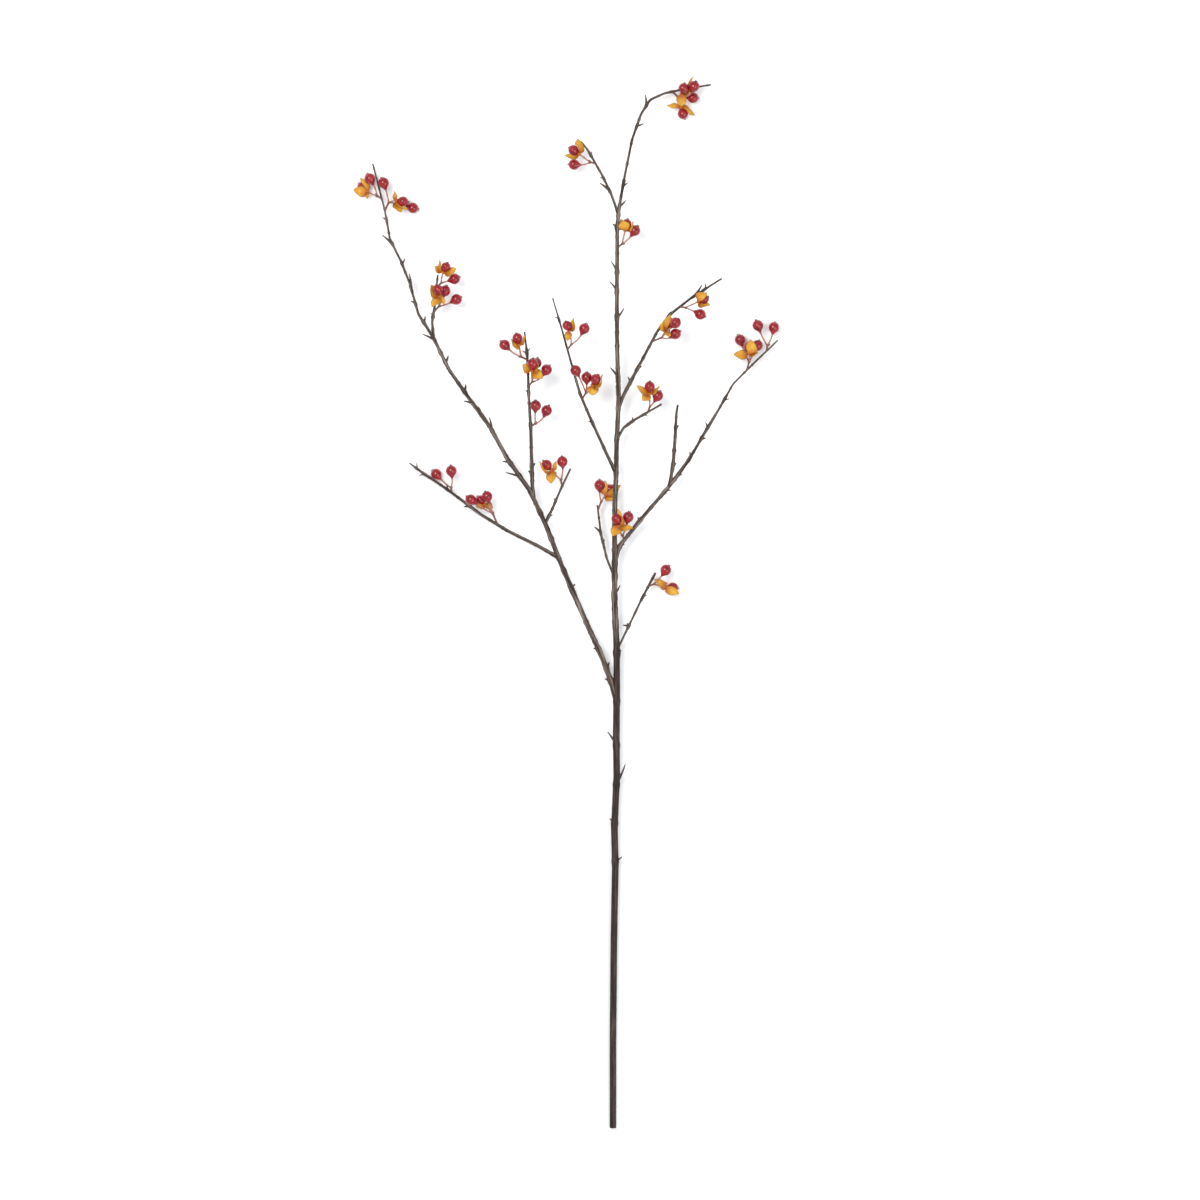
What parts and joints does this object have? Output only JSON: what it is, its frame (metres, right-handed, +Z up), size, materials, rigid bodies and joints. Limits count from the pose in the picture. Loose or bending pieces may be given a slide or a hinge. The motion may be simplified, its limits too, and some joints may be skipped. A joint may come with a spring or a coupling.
{
  "type": "bittersweet berry stem",
  "caption": "Long cut stem of bittersweet lying flat: woody limbs and twigs with sprays of glossy red berries and split yellow husks.",
  "frame": {"origin": "middle of the base of the whole stem's bounding box, on the surface it lies on", "axes": "+Y from the cut end of the main stem to its tip, +X to the right seen from above, +Z up out of the surface"},
  "size_m": [0.4462, 1.1038, 0.0546],
  "materials": {
    "smooth_bark": "smooth dark brown bark with a soft sheen, greyer and rougher towards the tip",
    "bark": "dry grey-brown bark, streaked lengthwise",
    "berry": "glossy crimson skin, with matt red-brown stalks",
    "husk": "dry yellow-orange with dark edges"
  },
  "bodies": {
    "root": {"main_stem": "smooth_bark", "left_limb": "bark", "low_left_twig": "bark", "left_inner_twig": "bark", "left_upright_twig": "bark", "upper_left_twig": "bark", "right_limb": "bark", "right_upright_twig": "bark", "centre_left_twig": "bark", "centre_low_left_twig": "bark", "centre_right_twig": "bark", "small_right_twig": "bark", "top_left_twig": "bark", "low_right_twig": "bark", "left_tip_upper_spray": "berry", "left_tip_lower_spray": "berry", "upper_left_tip_spray": "berry", "upper_left_base_spray": "berry", "left_upright_tip_spray": "berry", "left_upright_middle_spray": "berry", "left_upright_base_spray": "berry", "centre_left_upper_spray": "berry", "centre_left_lower_spray": "berry", "leader_spray": "berry", "top_left_spray": "berry", "top_spray": "berry", "centre_right_lower_spray": "berry", "centre_right_upper_spray": "berry", "right_tip_lower_spray": "berry", "right_tip_upper_spray": "berry", "small_right_spray": "berry", "low_left_tip_spray": "berry", "low_left_base_spray": "berry", "left_inner_spray": "berry", "centre_low_left_spray": "berry", "right_limb_base_spray": "berry", "low_right_spray": "berry", "left_tip_upper_husk": "husk", "left_tip_lower_husk": "husk", "upper_left_tip_husk": "husk", "upper_left_base_husk": "husk", "left_upright_tip_husk": "husk", "left_upright_middle_husk": "husk", "centre_left_upper_husk": "husk", "centre_left_lower_husk": "husk", "leader_husk": "husk", "top_left_husk": "husk", "top_husk_1": "husk", "top_husk_2": "husk", "centre_right_lower_husk": "husk", "centre_right_upper_husk": "husk", "right_tip_lower_husk": "husk", "small_right_husk": "husk", "low_left_base_husk": "husk", "left_inner_husk": "husk", "centre_low_left_husk": "husk", "right_limb_base_husk": "husk", "low_right_husk": "husk"}
  },
  "joints": []
}
